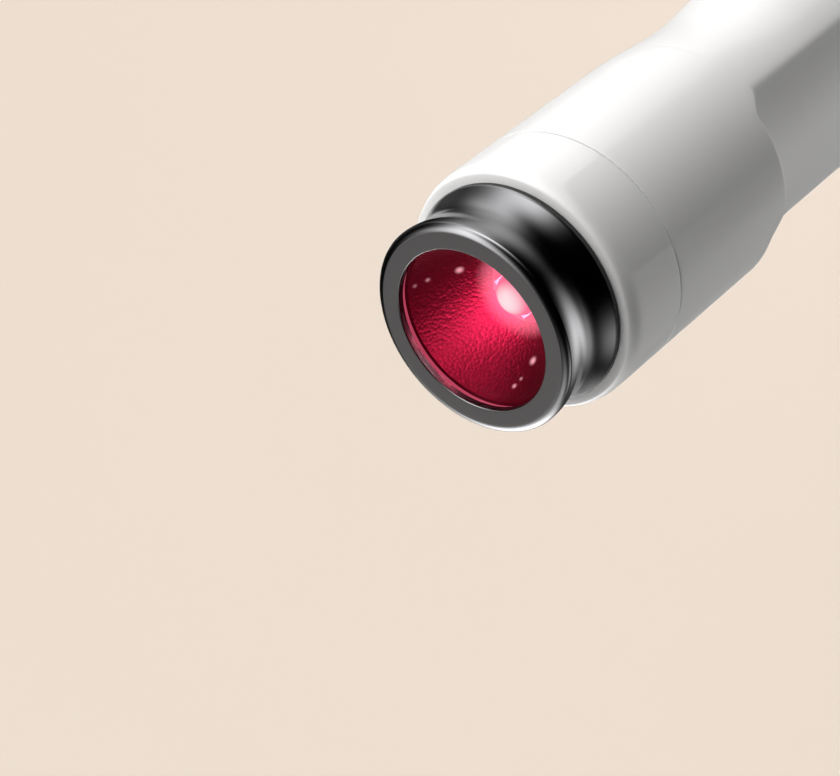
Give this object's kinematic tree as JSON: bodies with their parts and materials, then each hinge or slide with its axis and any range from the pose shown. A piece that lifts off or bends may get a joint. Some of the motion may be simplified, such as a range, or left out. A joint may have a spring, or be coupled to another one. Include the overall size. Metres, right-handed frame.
{
  "type": "red light therapy torch",
  "caption": "Hand-held red light therapy torch with a dark metal nose, a red reflector behind a window, a shaved grip, a power button and a screw cap over its charging socket.",
  "frame": {"origin": "centre of the tail cap's flat end, on which the torch stands", "axes": "+Z along the torch towards the light, +Y to its round back with the button, +X to one shaved flank"},
  "size_m": [0.034, 0.0349, 0.1568],
  "materials": {
    "white_plastic": "satin moulded, very fine even texture",
    "dark_chrome": "dark plated, blasted front ring and polished neck",
    "red_reflector": "stippled bright metal that mirrors the red light source",
    "window": "clear, polished",
    "clear_plastic": "clear moulded",
    "led_silicone": "clear silicone lit from within",
    "led_package": "matt ceramic",
    "metal_core_board": "white solder mask",
    "circuit_board": "green solder mask",
    "pad": "soft grey pad",
    "bare_aluminium": "turned",
    "screw_steel": "plain plated",
    "contact_metal": "nickel plated",
    "seal_rubber": "matt black",
    "black_plastic": "moulded",
    "grey_plastic": "moulded",
    "cell_wrap": "plain shrink wrap",
    "red_wire": "wire insulation",
    "black_wire": "wire insulation",
    "ribbon_film": "amber film"
  },
  "bodies": {
    "root": {"nose_bezel": "dark_chrome", "lens": "window", "lens_seal": "seal_rubber", "reflector": "red_reflector", "led_dome": "led_silicone", "led_emitter": "led_package", "led_board": "metal_core_board", "led_screw_left": "screw_steel", "led_screw_right": "screw_steel", "thermal_pad": "pad", "heat_sink": "bare_aluminium", "neck_seal": "seal_rubber", "head_collar": "white_plastic", "collar_seal": "seal_rubber", "main_housing": "white_plastic", "chassis": "grey_plastic", "battery_cell": "cell_wrap", "battery_terminal": "screw_steel", "tail_contact": "contact_metal", "tail_spring": "contact_metal", "front_contact": "contact_metal", "control_board": "circuit_board", "board_screw_left": "screw_steel", "board_screw_right": "screw_steel", "inductor": "black_plastic", "charger_chip": "black_plastic", "controller_chip": "black_plastic", "indicator_led": "led_package", "light_pipe": "clear_plastic", "switch_body": "black_plastic", "button_ring": "dark_chrome", "led_wire_red": "red_wire", "led_wire_black": "black_wire", "charge_ribbon": "ribbon_film", "port_frame": "black_plastic", "charging_board": "circuit_board", "usb_shell": "screw_steel", "usb_tongue": "black_plastic"},
    "button": {"power_button": "white_plastic"},
    "plunger": {"switch_plunger": "grey_plastic"},
    "cap_travel": {"tail_seal": "seal_rubber"},
    "cap": {"tail_cap": "white_plastic"}
  },
  "joints": [
    {"name": "button_press", "type": "slide", "parent": "root", "child": "button", "axis": [0, -1, 0], "range_m": [0, 0.0004], "stiffness_N_per_m": 1500, "springref_m": -0.0004},
    {"name": "plunger_press", "type": "slide", "parent": "root", "child": "plunger", "axis": [0, -1, 0], "range_m": [0, 0.0004]},
    {"name": "cap_rise", "type": "slide", "parent": "root", "child": "cap_travel", "axis": [0, 0, -1], "range_m": [0, 0.006]},
    {"name": "cap_turn", "type": "hinge", "parent": "cap_travel", "child": "cap", "pos_m": [0, 0, 0], "axis": [0, 0, -1], "range_deg": [0, 1080]}
  ],
  "couplings": [
    {"joint": "plunger_press", "follows": "button_press", "ratio": 1},
    {"joint": "cap_rise", "follows": "cap_turn", "m_per_rad": 0.00031831}
  ]
}
